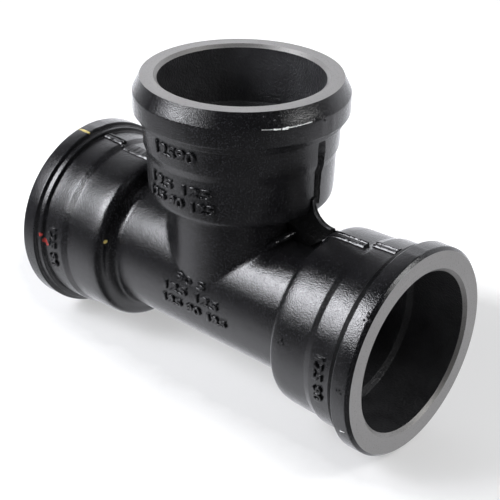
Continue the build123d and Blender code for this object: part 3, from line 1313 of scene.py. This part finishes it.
def disc(name, radius, material):
    """A flat disc on the floor."""
    count = 96
    turned = [FULL_TURN * step / count for step in range(count)]
    rim = [(radius * math.cos(turn), radius * math.sin(turn), 0.0) for turn in turned]
    return mesh_piece(name, rim, [range(count)], material)


# Cool tint of the room and of the soft box
DAYLIGHT = (0.97, 0.98, 1.03)
# What the casting mirrors, as shades by azimuth in degrees and by height of the
# direction: the lit table in front, then the bright back of the room
ROOM = (
    (
        ((-180.0, 0.05), (180.0, 0.05), (-96.0, 0.05), (-78.0, 0.065), (-58.0, 0.09),
         (-45.0, 0.1), (-33.0, 0.08), (-20.0, 0.05), (-6.0, 0.025), (10.0, 0.01),
         (62.0, 0.015), (85.0, 0.035), (105.0, 0.062), (125.0, 0.09)),
        ((-1.0, 0.5), (1.0, 0.03), (-0.77, 0.9), (-0.57, 0.85), (-0.42, 0.65), (-0.26, 0.3),
         (-0.12, 0.14), (0.09, 0.09), (0.34, 0.06)),
    ),
    (
        ((-180.0, 0.09), (180.0, 0.09), (-150.0, 0.11), (-130.0, 0.15), (-112.0, 0.13),
         (-90.0, 0.05), (-72.0, 0.0), (124.0, 0.0), (142.0, 0.025), (155.0, 0.08)),
        ((-1.0, 0.12), (1.0, 0.05), (-0.53, 0.13), (-0.43, 0.6), (0.1, 0.75), (0.47, 0.8),
         (0.7, 0.2)),
    ),
)
# Soft box: how bright its cloth is across and up, by distance in metres from its middle
CLOTH_ACROSS = (
    (-0.62, 0.0), (-0.51, 0.06), (-0.42, 0.14), (-0.33, 0.32), (-0.24, 0.54), (-0.16, 0.78),
    (-0.06, 1.0), (0.12, 1.0), (0.2, 0.7), (0.28, 0.3), (0.36, 0.0),
)
CLOTH_UP = (
    (-0.78, 0.0), (-0.65, 0.06), (-0.54, 0.13), (-0.4, 0.25), (-0.32, 0.38), (-0.17, 0.7),
    (-0.1, 0.88), (0.0, 1.0), (0.15, 1.0), (0.3, 0.72), (0.4, 0.4), (0.51, 0.0),
)


def cloth_glow(name):
    """Light of the soft box's cloth, brighter where its attribute says so."""
    finish = Finish(name)
    bright = finish.add("ShaderNodeAttribute", {"attribute_name": "cloth"})["Fac"]
    power = finish.math("MULTIPLY", bright, bpy.context.scene.tee_stage.soft_box)
    return finish.set(
        Base_Color=rgba((0.0, 0.0, 0.0)), Emission_Color=rgba(DAYLIGHT),
        Emission_Strength=power,
    )


def stand(azimuth, elevation):
    """Directions from the crossing to a stand, to the right there and up there."""
    flat = math.cos(elevation)
    back = Vector((math.sin(azimuth) * flat, -math.cos(azimuth) * flat, math.sin(elevation)))
    right = Vector((math.cos(azimuth), math.sin(azimuth), 0.0))
    return back, right, back.cross(right)


def soft_box(azimuth, elevation, distance):
    """The main light: a cloth that faces the crossing and fades towards its edges."""
    back, right, up = stand(math.radians(azimuth), math.radians(elevation))
    across = np.linspace(CLOTH_ACROSS[0][0], CLOTH_ACROSS[-1][0], 40)
    upward = np.linspace(CLOTH_UP[0][0], CLOTH_UP[-1][0], 48)
    bright = np.outer(
        np.interp(upward, *zip(*CLOTH_UP)), np.interp(across, *zip(*CLOTH_ACROSS))
    )
    places = [
        CROSSING + back * distance + right * float(u) + up * float(v)
        for v in upward for u in across
    ]
    wide = len(across)
    faces = [
        (n, n + 1, n + wide + 1, n + wide)
        for row in range(len(upward) - 1) for n in range(row * wide, row * wide + wide - 1)
    ]
    cloth = mesh_piece("soft_box", places, faces, kept("cloth_glow", cloth_glow))
    values = cloth.data.attributes.new("cloth", "FLOAT", "POINT")
    values.data.foreach_set("value", bright.ravel())
    cloth.visible_camera = False
    cloth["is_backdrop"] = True


def lamp(name, power, azimuth, elevation, distance, width, height, colour):
    """A soft box that faces the crossing."""
    light = bpy.data.lights.new(name, "AREA")
    light.shape = "RECTANGLE"
    light.size, light.size_y = width, height
    light.energy, light.color = power, colour
    holder = linked(name, light)
    way = stand(math.radians(azimuth), math.radians(elevation))[0]
    holder.location = CROSSING + way * distance
    holder.rotation_euler = way.to_track_quat("Z", "Y").to_euler()


# Soft box, and the two lamps: azimuth and elevation in degrees, distance, width and
# height in metres, colour
SOFT_BOX = (-36.0, 38.0, 1.4)
LAMPS = {
    "low_box": (-14.0, 26.5, 1.1, 0.62, 0.2, (0.96, 0.97, 1.0)),
    "side_box": (112.0, 42.0, 1.1, 0.5, 0.5, (1.0, 1.0, 1.0)),
}
# What the camera looks at, about the crossing, and the floor's radius in metres
LOOKED_AT = Vector((10.66, 0.0, 25.16)) * MM
FLOOR_RADIUS = 8.0


class TEE_OT_stage(bpy.types.Operator):
    """Set up the camera, the pale floor and the studio light"""

    bl_idname = "tee.stage"
    bl_label = "Stage"

    def execute(self, context):
        look = context.scene.tee_stage
        back, right, up = stand(look.azimuth, look.elevation)
        tilted_right = right * math.cos(look.roll) + up * math.sin(look.roll)
        tilted_up = up * math.cos(look.roll) - right * math.sin(look.roll)
        data = bpy.data.cameras.new("camera")
        data.lens = look.lens
        data.sensor_width = 36.0
        data.clip_start, data.clip_end = 0.01, 50.0
        camera = linked("camera", data)
        turn = Matrix((tilted_right, tilted_up, back)).transposed().to_4x4()
        place = CROSSING + LOOKED_AT + back * look.distance
        camera.matrix_world = Matrix.Translation(place) @ turn
        context.scene.camera = camera

        floor = disc("floor", FLOOR_RADIUS, kept("pale_floor", floor_finish))
        floor.visible_glossy = False
        floor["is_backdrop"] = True

        soft_box(*SOFT_BOX)
        for name, placing in LAMPS.items():
            lamp(name, getattr(look, name), *placing)
        studio_world()
        context.scene.view_settings.view_transform = "Standard"
        return {"FINISHED"}


GROUPS = {
    "tee_casting": CastingSizes,
    "tee_skin": SkinSizes,
    "tee_seam": SeamSizes,
    "tee_finish": FinishLook,
    "tee_stage": StageLook,
}
STEPS = (
    TEE_OT_casting, TEE_OT_seam, TEE_OT_webs, TEE_OT_bead, TEE_OT_lumps, TEE_OT_numbers,
    TEE_OT_stage,
)


class TEE_PT_panel(bpy.types.Panel):
    """Sizes and finishes of the tee, with a button for each step"""

    bl_idname = "TEE_PT_panel"
    bl_label = "Socket tee"
    bl_space_type = "VIEW_3D"
    bl_region_type = "UI"
    bl_category = "Tee"

    def draw(self, context):
        for name, group in GROUPS.items():
            box = self.layout.box()
            for key in group.__annotations__:
                box.prop(getattr(context.scene, name), key)
        for step in STEPS:
            self.layout.operator(step.bl_idname)


def register():
    for group in GROUPS.values():
        bpy.utils.register_class(group)
    for name, group in GROUPS.items():
        setattr(bpy.types.Scene, name, PointerProperty(type=group))
    for step in (*STEPS, TEE_PT_panel):
        bpy.utils.register_class(step)


def unregister():
    for step in (TEE_PT_panel, *reversed(STEPS)):
        bpy.utils.unregister_class(step)
    for name in GROUPS:
        delattr(bpy.types.Scene, name)
    for group in reversed(GROUPS.values()):
        bpy.utils.unregister_class(group)


def main():
    register()
    bpy.ops.tee.casting()
    bpy.ops.tee.seam()
    bpy.ops.tee.webs()
    bpy.ops.tee.bead()
    bpy.ops.tee.lumps()
    bpy.ops.tee.numbers()
    bpy.ops.tee.stage()
    boxes = {"cad": CAD_BOX, "visual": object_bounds()}
    plain = {name: [list(corner) for corner in box] for name, box in boxes.items()}


if __name__ == "__main__":
    main()
